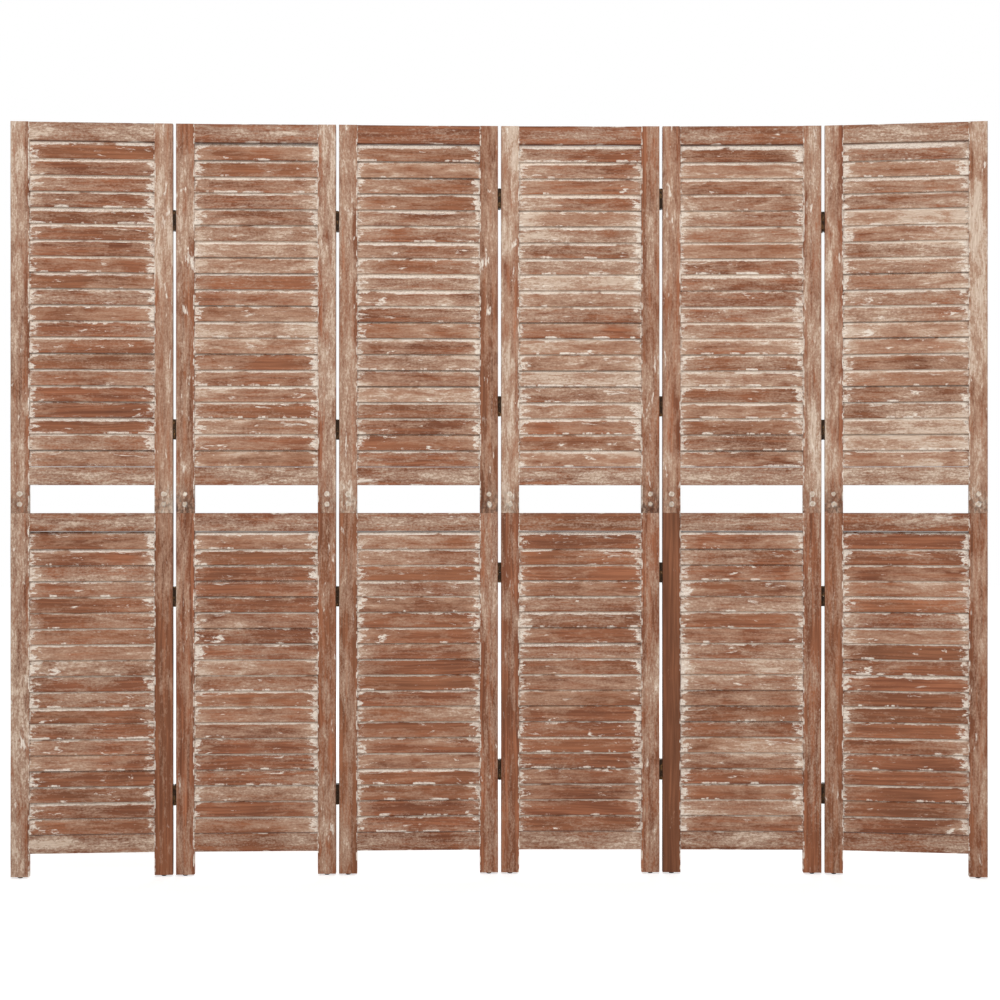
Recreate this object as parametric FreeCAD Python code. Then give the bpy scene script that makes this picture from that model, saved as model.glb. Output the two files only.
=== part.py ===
import FreeCAD, Part
import math
import os
from FreeCAD import Placement, Rotation, Vector

# Folding screen of six louvred panels, standing in a shallow bow with its front towards -Y.
# Each panel is two louvred frames, one above the other, half-lapped and screwed at the stiles.
# Neighbouring panels hang on hinges that fold both ways. Lengths are millimetres.

# Panel
panel_count = 6
panel_width = 350.0
panel_height = 1650.0
frame_thickness = 18.0
stile_width = 40.0
rail_height = 40.0
rail_setback = 1.0
leg_height = 50.0
lower_opening_height = 663.0
look_through_height = 61.0
arris_radius = 1.0

# Tenons of the rails in the stiles
tenon_length = 20.0
tenon_shoulder = 6.0
tenon_thickness_share = 1.0 / 3.0
tenon_clearance = 0.1

# Louvre slats, bottom edge forward
upper_slat_count = 20
lower_slat_count = 19
slat_tilt = 15.0
slat_thickness = 5.0
slat_edge_radius = 1.5
pocket_wall = 1.4
pocket_depth = 6.0
pocket_clearance = 0.15
slat_end_clearance = 0.5
slat_rail_clearance = 0.3

# Lap joint between the two frames
lap_screw_spacing = 22.0
lap_screw_length = 16.0
lap_screw_radius = 1.75
lap_screw_head_radius = 3.6
lap_screw_head_sink = 0.4

# Hinges, with one front pin and one back pin in each half
panel_gap = 6.4
hinge_height = 44.0
hinge_half_gap = 0.6
leaf_thickness = 1.6
leaf_edge_clearance = 0.8
link_thickness = 1.2
knuckle_clearance = 1.2
knuckle_gap = 0.25
pin_radius = 1.0
pin_proud = 1.4
pin_fixed_clearance = 0.02
pin_running_clearance = 0.08
hinge_screw_spacing = 24.0
hinge_screw_length = 15.0
hinge_screw_radius = 1.4
hinge_screw_head_radius = 2.7
hinge_screw_head_sink = 0.1

# Places of the hinges along the stiles, with alternate lines raised so that they pass each other
hinge_above_foot = 174.5
hinge_beside_seam = 183.5
hinge_below_top = 212.0
hinge_stagger_gap = 8.0
raised_lines = [False, False, True, True, False]

# Screws and holes
screw_clearance = 0.05
screw_point_share = 0.25
recess_width_share = 0.28
recess_reach_share = 0.6
recess_depth_share = 0.4

# Dome glides under the legs
glide_height = 3.5
glide_radius = 6.0
glide_flat_radius = 2.5
glide_rim = 1.0
glide_nail_radius = 1.1
glide_nail_length = 14.0

# Stance: heading of the first panel, then the fold at each hinge line, front folds positive
first_heading = 4.38
rest_folds = [2.5, -0.5, 2.0, 1.5, 7.0]

# Cutting tools run this far past a face
overrun = 1.0

# Sizes that follow from the ones above
half_thickness = frame_thickness / 2
rail_face = half_thickness - rail_setback
tenon_thickness = 2 * rail_face * tenon_thickness_share
tilt = math.radians(slat_tilt)
slat_width = (frame_thickness - 2 * pocket_wall - slat_thickness * math.cos(tilt)) / math.sin(tilt)
slat_extent = slat_width * math.cos(tilt) + slat_thickness * math.sin(tilt)
slat_length = panel_width - 2 * stile_width + 2 * (pocket_depth - slat_end_clearance)
bottom_rail_low = glide_height + leg_height
lower_opening_low = bottom_rail_low + rail_height
lower_opening_high = lower_opening_low + lower_opening_height
seam_height = lower_opening_high + rail_height
lap_high = seam_height + look_through_height
upper_opening_low = lap_high + rail_height
upper_opening_high = panel_height - rail_height
panel_pitch = panel_width + panel_gap
half_gap = panel_gap / 2
pin_depth = half_thickness + pin_proud
knuckle_radius = half_gap - knuckle_clearance
leaf_half_depth = pin_depth - knuckle_radius - leaf_edge_clearance
half_low = hinge_half_gap / 2
half_high = hinge_height / 2
knuckle_length = (half_high - half_low - 2 * knuckle_gap) / 3
hinge_stagger = hinge_height + hinge_stagger_gap

along_x = Vector(1, 0, 0)
along_z = Vector(0, 0, 1)
origin = Vector(0, 0, 0)


def block(low, high):
    """Box between two opposite corners."""
    size = high - low
    return Part.makeBox(size.x, size.y, size.z, low)


def softened(shape, direction, radius):
    """The shape with its edges along one direction rounded."""
    edges = [e for e in shape.Edges if e.tangentAt(e.FirstParameter).cross(direction).Length < 1e-6]
    return shape.makeFillet(radius, edges)


def turned_profile(points, centre_line):
    """Solid of revolution from an outline that starts and ends on its centre line."""
    outline = Part.makePolygon(points + points[:1])
    return Part.Face(outline).revolve(origin, centre_line, 360)


def moved(shape, placement):
    """Copy of a shape with its geometry carried to a new place."""
    copy = shape.copy()
    copy.transformShape(placement.toMatrix(), True)
    return copy


def turned(angle, x, y):
    """Turn about an upright axis through (x, y)."""
    return Placement(origin, Rotation(along_z, angle), Vector(x, y, 0))


def shifted(x, y, z):
    """Plain shift."""
    return Placement(Vector(x, y, z), Rotation())


def mirrored_across_panel(shape):
    """The same piece for the other side of the panel."""
    centre = half_gap + panel_width / 2
    return shape.mirror(Vector(centre, 0, 0), along_x)


# Screws

def screw_body(length, radius, head_radius, grow):
    """Countersunk screw along +X with its head's top at the origin, or its hole when grown."""
    slope = head_radius - radius
    point = screw_point_share * length
    outline = [
        Vector(0, 0, 0),
        Vector(0, head_radius + grow, 0),
        Vector(slope, radius + grow, 0),
        Vector(length - point, radius + grow, 0),
        Vector(length + grow, 0, 0),
    ]
    return turned_profile(outline, along_x)


def screw(length, radius, head_radius):
    """Countersunk screw with a cross recess."""
    width = recess_width_share * head_radius
    reach = recess_reach_share * head_radius
    depth = recess_depth_share * head_radius
    bar_y = block(Vector(-overrun, -reach, -width / 2), Vector(depth, reach, width / 2))
    bar_z = block(Vector(-overrun, -width / 2, -reach), Vector(depth, width / 2, reach))
    return screw_body(length, radius, head_radius, 0).cut([bar_y, bar_z])


def screw_hole(length, radius, head_radius, sink):
    """Room for a screw, open above its sunk head."""
    body = screw_body(length, radius, head_radius, screw_clearance)
    mouth = Part.makeCylinder(head_radius + screw_clearance, sink + overrun, origin, -along_x)
    return body.fuse(mouth)


def hinge_screw_hole():
    """Hole of a hinge screw, countersunk in its leaf."""
    return screw_hole(hinge_screw_length, hinge_screw_radius, hinge_screw_head_radius, hinge_screw_head_sink)


def lap_screw_places():
    """Places of the lap screws of a left stile, at the head's top, pointing to the back."""
    x = half_gap + stile_width / 2
    y = -half_thickness + lap_screw_head_sink
    middle = (seam_height + lap_high) / 2
    turn = Rotation(along_z, 90)
    heights = [middle - lap_screw_spacing / 2, middle + lap_screw_spacing / 2]
    return [Placement(Vector(x, y, z), turn) for z in heights]


def hinge_heights(line):
    """Heights of the centres of the hinges of one line."""
    rise = hinge_stagger if raised_lines[line] else 0
    feet = glide_height + hinge_above_foot
    beside = [seam_height - hinge_beside_seam, seam_height + hinge_beside_seam]
    return [z + rise for z in [feet] + beside + [panel_height - hinge_below_top]]


def hinge_screw_places(line, side):
    """Places of the hinge screws of one stile edge: side 1 on a left edge, -1 on a right one."""
    head = half_gap - leaf_thickness + hinge_screw_head_sink
    x = head if side > 0 else panel_pitch - head
    turn = Rotation(along_z, 0 if side > 0 else 180)
    steps = [-hinge_screw_spacing / 2, hinge_screw_spacing / 2]
    return [Placement(Vector(x, 0, z + dz), turn) for z in hinge_heights(line) for dz in steps]


# Slats

def slat_heights(low, high, count):
    """Heights of the middles of evenly spaced slats between two rails."""
    margin = slat_extent / 2 + slat_rail_clearance
    pitch = (high - low - 2 * margin) / (count - 1)
    return [low + margin + i * pitch for i in range(count)]


def tilted_bar(length, thickness, width):
    """Bar along X, tilted with its bottom edge forward, centred at the origin."""
    corner = Vector(length / 2, thickness / 2, width / 2)
    return block(-corner, corner)


def lean(shape):
    """A bar leaned back by the tilt of the slats."""
    return shape.rotated(origin, along_x, -slat_tilt)


def slats(low, high, count):
    """Louvre slats between two rails."""
    bar = softened(tilted_bar(slat_length, slat_thickness, slat_width), along_x, slat_edge_radius)
    one = lean(bar)
    middle = half_gap + panel_width / 2
    return [moved(one, shifted(middle, 0, z)) for z in slat_heights(low, high, count)]


def slat_pockets(low, high, count):
    """Slanted pockets for the slat ends in the inner edge of a left stile."""
    across = pocket_depth + overrun
    thickness = slat_thickness + 2 * pocket_clearance
    one = lean(tilted_bar(across, thickness, slat_width + 2 * pocket_clearance))
    middle = half_gap + stile_width - pocket_depth + across / 2
    return [moved(one, shifted(middle, 0, z)) for z in slat_heights(low, high, count)]


# Rails and their tenons

def rail(low):
    """Rail with a tenon at each end, its underside at the given height."""
    left = half_gap + stile_width
    right = half_gap + panel_width - stile_width
    high = low + rail_height
    board = block(Vector(left, -rail_face, low), Vector(right, rail_face, high))
    bar = softened(board, along_x, arris_radius)
    start = Vector(left - tenon_length, -tenon_thickness / 2, low + tenon_shoulder)
    end = Vector(right + tenon_length, tenon_thickness / 2, high - tenon_shoulder)
    return bar.fuse(block(start, end)).removeSplitter()


def mortise(low):
    """Room for a rail's tenon in a left stile."""
    inner = half_gap + stile_width
    half = tenon_thickness / 2 + tenon_clearance
    shoulder = tenon_shoulder - tenon_clearance
    start = Vector(inner - tenon_length - tenon_clearance, -half, low + shoulder)
    end = Vector(inner + overrun, half, low + rail_height - shoulder)
    return block(start, end)


# Stiles

def stile_board(low, high):
    """Plain board of a left stile, its long edges softened."""
    start = Vector(half_gap, -half_thickness, low)
    end = Vector(half_gap + stile_width, half_thickness, high)
    return softened(block(start, end), along_z, arris_radius)


def lap_screw_holes():
    """Holes of the lap screws of a left stile."""
    hole = screw_hole(lap_screw_length, lap_screw_radius, lap_screw_head_radius, lap_screw_head_sink)
    return [moved(hole, place) for place in lap_screw_places()]


def upper_stile():
    """Left stile of the upper frame, cut away behind the lap."""
    board = stile_board(seam_height, panel_height)
    start = Vector(half_gap - overrun, 0, seam_height - overrun)
    lap = block(start, Vector(half_gap + stile_width + overrun, half_thickness + overrun, lap_high))
    mortises = [mortise(lap_high), mortise(upper_opening_high)]
    pockets = slat_pockets(upper_opening_low, upper_opening_high, upper_slat_count)
    return board.cut([lap] + mortises + pockets + lap_screw_holes())


def lower_stile():
    """Left stile of the lower frame, with its tongue behind the lap."""
    board = stile_board(glide_height, lap_high)
    start = Vector(half_gap - overrun, -half_thickness - overrun, seam_height)
    lap = block(start, Vector(half_gap + stile_width + overrun, 0, lap_high + overrun))
    mortises = [mortise(bottom_rail_low), mortise(lower_opening_high)]
    pockets = slat_pockets(lower_opening_low, lower_opening_high, lower_slat_count)
    nail = moved(glide_shape(screw_clearance), shifted(half_gap + stile_width / 2, 0, 0))
    return board.cut([lap] + mortises + pockets + lap_screw_holes() + [nail])


def drilled(stile, line, side):
    """A stile with the holes for the hinge screws of the line on its outer edge."""
    if not 0 <= line < panel_count - 1:
        return stile
    hole = hinge_screw_hole()
    return stile.cut([moved(hole, place) for place in hinge_screw_places(line, side)])


# Glides

def glide_shape(grow):
    """Dome glide with its nail, standing on its small flat, or the nail's hole when grown."""
    rim = glide_height - glide_rim
    halfway = math.cos(math.radians(45))
    bulge_radius = glide_flat_radius + (glide_radius - glide_flat_radius) * halfway
    bulge = Vector(bulge_radius, 0, rim * (1 - halfway))
    tip = glide_height + glide_nail_length
    shank = tip - glide_nail_radius
    flat = Vector(glide_flat_radius, 0, 0)
    side = Vector(glide_radius, 0, rim)
    corners = [
        side,
        Vector(glide_radius, 0, glide_height),
        Vector(glide_nail_radius + grow, 0, glide_height),
        Vector(glide_nail_radius + grow, 0, shank),
        Vector(0, 0, tip + grow),
        origin,
        flat,
    ]
    edges = [Part.LineSegment(a, b).toShape() for a, b in zip(corners, corners[1:])]
    outline = Part.Wire(edges + [Part.Arc(flat, bulge, side).toShape()])
    return Part.Face(outline).revolve(origin, along_z, 360)


# Hinges, drawn about the middle of the gap at the height of their centre

def knuckle_span(index, upper):
    """Lowest and highest point of one of the three knuckles on a pin."""
    low = half_low + index * (knuckle_length + knuckle_gap)
    if upper:
        return low, low + knuckle_length
    return -low - knuckle_length, -low


def knuckle(front, span):
    """Round knuckle on the front or the back pin, not yet bored."""
    y = -pin_depth if front else pin_depth
    return Part.makeCylinder(knuckle_radius, span[1] - span[0], Vector(0, y, span[0]))


def pin_bore(front, radius):
    """Bore for a pin, past both ends of the hinge."""
    y = -pin_depth if front else pin_depth
    return Part.makeCylinder(radius, hinge_height + 2 * overrun, Vector(0, y, -half_high - overrun))


def right_leaf():
    """Leaf on the left edge of a panel: front knuckles below, back knuckles above."""
    inner = half_gap - leaf_thickness
    plate = block(Vector(inner, -leaf_half_depth, -half_high), Vector(half_gap, leaf_half_depth, half_high))
    pieces = []
    for front, upper in ((True, False), (False, True)):
        near, far = (-pin_depth, -leaf_half_depth) if front else (leaf_half_depth, pin_depth)
        for index in (0, 2):
            low, high = knuckle_span(index, upper)
            pieces.append(block(Vector(inner, near, low), Vector(half_gap, far, high)))
            pieces.append(knuckle(front, (low, high)))
    bore_radius = pin_radius + pin_fixed_clearance
    head = inner + hinge_screw_head_sink
    heights = (-hinge_screw_spacing / 2, hinge_screw_spacing / 2)
    holes = [moved(hinge_screw_hole(), shifted(head, 0, z)) for z in heights]
    bores = [pin_bore(True, bore_radius), pin_bore(False, bore_radius)]
    return plate.fuse(pieces).cut(bores + holes).removeSplitter()


def leaf_pins(loose):
    """The two pins fixed in a leaf. With a loose link, the lower pin stops short of the link's knuckle."""
    length = half_high - half_low
    lower = Part.makeCylinder(pin_radius, length, Vector(0, -pin_depth, -half_high))
    upper = Part.makeCylinder(pin_radius, length, Vector(0, pin_depth, half_low))
    if not loose:
        return [lower, upper]
    low, high = knuckle_span(1, False)
    stubs = lower.cut(knuckle(True, (low - knuckle_gap, high + knuckle_gap)))
    return stubs.Solids + [upper]


def link(upper):
    """Crossing link of one half: from a front pin of one leaf to the back pin of the other."""
    half = link_thickness / 2
    low, high = (half_low, half_high) if upper else (-half_high, -half_low)
    plate = block(Vector(-half, -leaf_half_depth, low), Vector(half, leaf_half_depth, high))
    span = knuckle_span(1, upper)
    strap = block(Vector(-half, -pin_depth, span[0]), Vector(half, pin_depth, span[1]))
    bore_radius = pin_radius + pin_running_clearance
    bores = [pin_bore(True, bore_radius), pin_bore(False, bore_radius)]
    solid = plate.fuse([strap, knuckle(True, span), knuckle(False, span)])
    return solid.cut(bores).removeSplitter()


def leaves_on_edge(leaf_set, line, side):
    """Leaves and pins of one hinge line on a panel's left edge (side 1) or right edge (side -1)."""
    if not 0 <= line < panel_count - 1:
        return []
    x = 0 if side > 0 else panel_pitch
    turn = Rotation(along_z, 0 if side > 0 else 180)
    places = [Placement(Vector(x, 0, z), turn) for z in hinge_heights(line)]
    return [moved(solid, place) for place in places for solid in leaf_set]


# Panels

def panel_nodes(index, stock):
    """Pieces of one panel in its own frame, its left hinge line at the origin."""
    left, right = index - 1, index
    nodes = {}
    for level in ("upper", "lower"):
        stile = stock[level + "_stile"]
        pair = [drilled(stile, left, 1), drilled(mirrored_across_panel(stile), right, -1)]
        nodes[level + "_stiles"] = pair
        nodes[level + "_slats"] = stock[level + "_slats"]
    nodes["rails"] = stock["rails"]
    lap_places = lap_screw_places()
    screws = [moved(stock["lap_screw"], place) for place in lap_places]
    screws += [mirrored_across_panel(solid) for solid in screws]
    for line, side in ((left, 1), (right, -1)):
        if 0 <= line < panel_count - 1:
            screws += [moved(stock["hinge_screw"], place) for place in hinge_screw_places(line, side)]
    nodes["screws"] = screws
    nodes["hinge_leaves"] = leaves_on_edge(stock["left_edge_leaf"], left, 1)
    nodes["hinge_leaves"] += leaves_on_edge(stock["right_edge_leaf"], right, -1)
    foot = half_gap + stile_width / 2
    feet = (foot, panel_pitch - foot)
    nodes["glides"] = [moved(stock["glide"], shifted(x, 0, 0)) for x in feet]
    return nodes


def make_stock():
    """Pieces that every panel repeats."""
    rail_lows = [bottom_rail_low, lower_opening_high, lap_high, upper_opening_high]
    return {
        "upper_stile": upper_stile(),
        "lower_stile": lower_stile(),
        "upper_slats": slats(upper_opening_low, upper_opening_high, upper_slat_count),
        "lower_slats": slats(lower_opening_low, lower_opening_high, lower_slat_count),
        "rails": [rail(low) for low in rail_lows],
        "lap_screw": screw(lap_screw_length, lap_screw_radius, lap_screw_head_radius),
        "hinge_screw": screw(hinge_screw_length, hinge_screw_radius, hinge_screw_head_radius),
        "left_edge_leaf": [right_leaf()] + leaf_pins(False),
        "right_edge_leaf": [right_leaf()] + leaf_pins(True),
        "glide": glide_shape(0),
    }


def hinge_turns(line):
    """Turns of a line at rest about its front pins and about its back pins."""
    fold = rest_folds[line]
    front = turned(-max(fold, 0), 0, -pin_depth)
    back = turned(max(-fold, 0), 0, pin_depth)
    return front, back


def stance():
    """Where each panel and each hinge line stands, before the whole is centred."""
    panels = [Placement(origin, Rotation(along_z, first_heading))]
    lines = []
    for line in range(panel_count - 1):
        gap = panels[-1].multiply(shifted(panel_pitch, 0, 0))
        front, back = hinge_turns(line)
        lines.append(gap)
        panels.append(gap.multiply(front).multiply(back))
    return panels, lines


def placed_nodes():
    """Every node of the screen as a list of solids at its place, before the whole is centred."""
    stock = make_stock()
    panels, lines = stance()
    nodes = {}
    for index, place in enumerate(panels):
        for name, solids in panel_nodes(index, stock).items():
            nodes[f"panel_{index + 1}_{name}"] = [moved(solid, place) for solid in solids]
    for line, gap in enumerate(lines):
        front, back = hinge_turns(line)
        for name, turn, upper in (("upper_links", front, True), ("lower_links", back, False)):
            one = moved(link(upper), gap.multiply(turn))
            heights = hinge_heights(line)
            nodes[f"hinge_{line + 1}_{name}"] = [moved(one, shifted(0, 0, z)) for z in heights]
    return nodes, panels, lines


def main():
    nodes, panels, lines = placed_nodes()
    whole = Part.makeCompound([solid for solids in nodes.values() for solid in solids])
    bounds = whole.optimalBoundingBox(False)
    centre = shifted(-bounds.Center.x, -bounds.Center.y, 0)
    os.makedirs("parts", exist_ok=True)
    for name, solids in nodes.items():
        node = Part.makeCompound([moved(solid, centre) for solid in solids])
        node.exportStep(f"parts/{name}.step")
    print(f"size {bounds.XLength:.2f} {bounds.YLength:.2f} {bounds.ZLength:.2f}")
    for index, place in enumerate(panels):
        start = centre.multiply(place).Base
        ahead = place.Rotation.multVec(along_x)
        heading = math.degrees(math.atan2(ahead.y, ahead.x))
        print(f"panel_{index + 1} at {start.x:.5f} {start.y:.5f} heading {heading:.5f}")
    for line, gap in enumerate(lines):
        front = centre.multiply(gap).multVec(Vector(0, -pin_depth, 0))
        back = centre.multiply(gap).multiply(hinge_turns(line)[0]).multVec(Vector(0, pin_depth, 0))
        print(f"hinge_{line + 1} front pin {front.x:.5f} {front.y:.5f} back pin {back.x:.5f} {back.y:.5f}")


main()
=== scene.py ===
import math
import random

import bmesh
import bpy
from mathutils import Matrix, Vector, noise


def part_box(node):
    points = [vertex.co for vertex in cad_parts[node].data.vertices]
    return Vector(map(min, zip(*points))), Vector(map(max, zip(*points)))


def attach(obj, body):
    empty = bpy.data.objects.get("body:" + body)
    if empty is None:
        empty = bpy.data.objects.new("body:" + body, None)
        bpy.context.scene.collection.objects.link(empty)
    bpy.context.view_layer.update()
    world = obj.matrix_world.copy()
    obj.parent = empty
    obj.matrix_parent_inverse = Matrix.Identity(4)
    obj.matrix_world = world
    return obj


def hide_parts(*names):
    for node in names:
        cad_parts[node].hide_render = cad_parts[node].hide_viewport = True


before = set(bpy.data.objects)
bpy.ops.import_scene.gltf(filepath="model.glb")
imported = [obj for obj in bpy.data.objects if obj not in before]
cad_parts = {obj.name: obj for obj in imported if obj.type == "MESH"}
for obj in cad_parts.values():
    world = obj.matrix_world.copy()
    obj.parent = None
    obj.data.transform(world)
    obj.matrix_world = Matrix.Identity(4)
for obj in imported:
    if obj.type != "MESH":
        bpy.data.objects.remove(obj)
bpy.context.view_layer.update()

# Folding screen of six louvred panels in worn, cream-washed reddish-brown wood.
# Lengths are metres. Each board has its own place: X along the grain, Y across it, Z out of its front.
# A pair of lengths is where an effect starts and where it is full, or the least and the greatest of a size.

# Panel
PANEL_COUNT = 6
PANEL_WIDTH = 0.350
THICKNESS = 0.018
STILE_WIDTH = 0.040
RAIL_HEIGHT = 0.040
ARRIS = 0.001
OPENING_HALF = PANEL_WIDTH / 2 - STILE_WIDTH

# Slats, tilted in the pockets of the stiles, with the top of each behind the lower edge of the next
UPPER_SLATS = 20
LOWER_SLATS = 19
SLAT_TILT = math.radians(15)
SLAT_THICKNESS = 0.005
SLAT_LENGTH = 0.281
SLAT_EDGE = 0.0017
SLAT_CUTS = 7
SLAT_LAP = 0.0035
POCKET_WALL = 0.0014
SLAT_WIDTH = (THICKNESS - 2 * POCKET_WALL - SLAT_THICKNESS * math.cos(SLAT_TILT)) / math.sin(SLAT_TILT)
SLAT_EXTENT = SLAT_WIDTH * math.cos(SLAT_TILT) + SLAT_THICKNESS * math.sin(SLAT_TILT)

# Lap between the frames, by height above the floor
LAP_SEAM = 0.7965
LAP_TOP = 0.8585
LAP_SCREW_HEIGHTS = (0.816, 0.838)

# How far hand work and wear leave a board from its true place and shape, and the step between cuts
SLAT_TURN = math.radians(0.9)
SLAT_SHIFT = 0.0004
SLAT_SEAT = 0.0006
SLAT_BOW = 0.0005
EDGE_WEAR = 0.0004
WEAR_STEP = 0.045
ARRIS_REACH = 1.2 * ARRIS
SLAT_EDGE_REACH = 1.1 * SLAT_EDGE
SLAT_WORN_SHARE = 0.99

# Edge wear: its mean share, its waves in each metre and the layers of noise that keep the edges apart
WEAR_LEVEL = 0.35
SLAT_WAVES = 40
BOARD_WAVES = 9
PANEL_WAVES = 3
SLAT_LAYER = 9
SIDE_LAYER = 5
FACE_LAYER = 3

# Grain: how far it bends, its rings in each metre across a board and how many rings a swirl shifts them
GRAIN_BEND = 0.016
RINGS = 130.0
RING_SWIRL = 4.0

# Wash on the slats, by distance from the slat above, the stiles or the lower edge. Noise moves the edge of
# a patch by up to half of RAGGED, and CORNER_SLIM draws the corner patches out along the slat.
RAGGED = 0.026
CORNER_FROM_END = 0.012
CORNER_FROM_TOP = 0.004
CORNER_SIZE = (0.005, 0.015)
CORNER_SLIM = 0.27
CORNER_FADE = (0.005, -0.003)
LINE_WIDTH = (0.0068, 0.015)
LINE_CORE = 0.003
EDGE_LINE = (0.007, 0.0012)
END_LINE = (0.0045, 0.0005)
TOP_HAZE = 0.013
END_HAZE = 0.05

# Painted shade on the slats: a line under the slat above, specks in the crevices at the ends, and the seam
# under the slat above
SHADE_LINE = (0.0052, 0.0004)
CREVICE_SHADE_END = (0.012, 0.002)
SLAT_SEAM_SHADE = (0.0012, -0.0008)

# Wash and dirt on the stiles, by distance from the inner edge, the outer edge or a lap screw
INNER_LINE = (0.0042, 0.0008)
WORN_STRIP = (0.0125, 0.0065)
SCREW_RING = (0.0085, 0.0035)
RING_RAGGED = 0.008
OUTER_DIRT = (0.0026, 0.0002)
LAP_DIRT_RISE = 0.02
LAP_SEAM_WIDTH = 0.001

# Wash and painted shade on the rails, by distance from the stiles, the long edges or the middle
RAIL_END = 0.004
RAIL_EDGE = (0.0035, 0.0006)
RAIL_MIDDLE = (0.003, 0.019)
RAIL_EDGE_SHADE = 0.0025
RAIL_SEAM_SHADE = (0.0012, 0.0004)

# Height of the relief of each surface
WOOD_RELIEF = 0.00025
METAL_RELIEF = 0.00008
PLASTIC_RELIEF = 0.00006

# Haze and tone of the stiles, left then right in each panel, as shares of full wash and of plain wood
UPPER_STILE_SHARES = [
    ((0.72, 1.0), (0.88, 1.08)),
    ((0.56, 1.04), (0.75, 1.14)),
    ((0.68, 1.14), (0.45, 0.98)),
    ((0.83, 1.1), (0.47, 1.06)),
    ((0.53, 1.08), (0.66, 1.08)),
    ((0.71, 1.1), (0.95, 1.02)),
]
LOWER_STILE_SHARES = [
    ((0.79, 0.98), (0.03, 0.95)),
    ((0.36, 1.06), (0.37, 1.04)),
    ((0.26, 1.01), (0.45, 1.12)),
    ((0.15, 1.02), (0.48, 1.15)),
    ((-0.5, 0.79), (0.22, 1.11)),
    ((0.2, 1.02), (0.4, 0.97)),
]

# Haze of the slats, upper and lower in each panel
SLAT_SHARES = [(0.28, 0.31), (0.36, 0.25), (0.45, 0.23), (0.53, 0.21), (0.51, 0.44), (0.66, 0.16)]

# Haze of the rails, from the lowest to the highest in each panel
RAIL_SHARES = [
    (0.78, 0.5, 0.73, 0.79),
    (0.36, 0.42, 0.58, 0.42),
    (0.45, 0.51, 0.67, 0.14),
    (0.6, 0.32, 0.56, 0.2),
    (0.5, 0.6, 0.73, 0.38),
    (0.5, 0.41, 0.88, 0.74),
]
RAIL_TONES = (0.91, 0.98, 0.99, 1.04)

# How a single slat or rail differs from its frame's haze and tone
SLAT_HAZE_STEPS = (-0.24, -0.18, -0.1, -0.04, 0.04, 0.18)
SLAT_TONES = (0.92, 1.16)
SHARE_PLAY = 0.05
SEED_RANGE = 10

# Light of the surroundings, and the floor's own colour and glow. Between two distances from the middle the
# glow goes from a weaker one, which leaves the feet their shadow, to one that is white with the light.
WORLD_LIGHT = 0.3
FLOOR_SHARE = 0.82
NEAR_GLOW = 0.55
FAR_GLOW = 1.0 - FLOOR_SHARE * WORLD_LIGHT
NEAR_REACH = 1.6
FAR_REACH = 4.0
FLOOR_RADIUS = 14.0
FLOOR_SIDES = 64

# Lamps: place, the point that they face, width and height, and watts
LAMPS = {
    "front_lamp": ((-0.8, -3.6, 2.6), (0, 0, 0.95), (3.2, 1.8), 86.0),
    "side_lamp": ((2.6, -2.8, 1.9), (0, 0, 0.9), (1.8, 1.8), 26.0),
    "back_lamp": ((0.4, 3.4, 2.6), (0, 0, 0.8), (2.8, 1.8), 90.0),
}

# Camera, level and square to the screen
CAMERA_SIDE = 0.0015
CAMERA_HEIGHT = 0.825
CAMERA_DISTANCE = 4.0
LENS = 65.4
SENSOR = 36.0

X, Y, Z = Vector((1, 0, 0)), Vector((0, 1, 0)), Vector((0, 0, 1))

rng = random.Random(11)


def colour(red, green, blue):
    """Scene colour of a screen colour from 0 to 255."""
    shares = [c / 255 for c in (red, green, blue)]
    linear = [s / 12.92 if s <= 0.04045 else ((s + 0.055) / 1.055) ** 2.4 for s in shares]
    return (*linear, 1.0)


# Colours of the bare wood
WOOD_DEEP = colour(124, 73, 50)
WOOD_LIGHT = colour(168, 107, 76)
WOOD_FIGURE = colour(108, 62, 41)
WOOD_PORES = colour(98, 57, 39)
WOOD_FADED = colour(146, 100, 70)

# Colours of the wash, from a thin haze to full cream, and of the dirt and painted shade on it
HAZE_SMOOTH = colour(187, 147, 121)
HAZE_SCRATCHED = colour(181, 151, 130)
FILM_THIN = colour(204, 178, 156)
FILM_THICK = colour(229, 211, 193)
CREAM_WORN = colour(230, 213, 196)
CREAM_FULL = colour(252, 244, 232)
DIRT_AND_SHADE = colour(58, 34, 24)

# Colours of the fittings, dull and rubbed
BRONZE = (colour(44, 31, 21), colour(118, 86, 52))
STEEL = (colour(204, 186, 166), colour(238, 226, 210))
GLIDES = (colour(34, 30, 29), colour(72, 64, 60))

WHITE = (1.0, 1.0, 1.0, 1.0)


# Node trees

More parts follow.
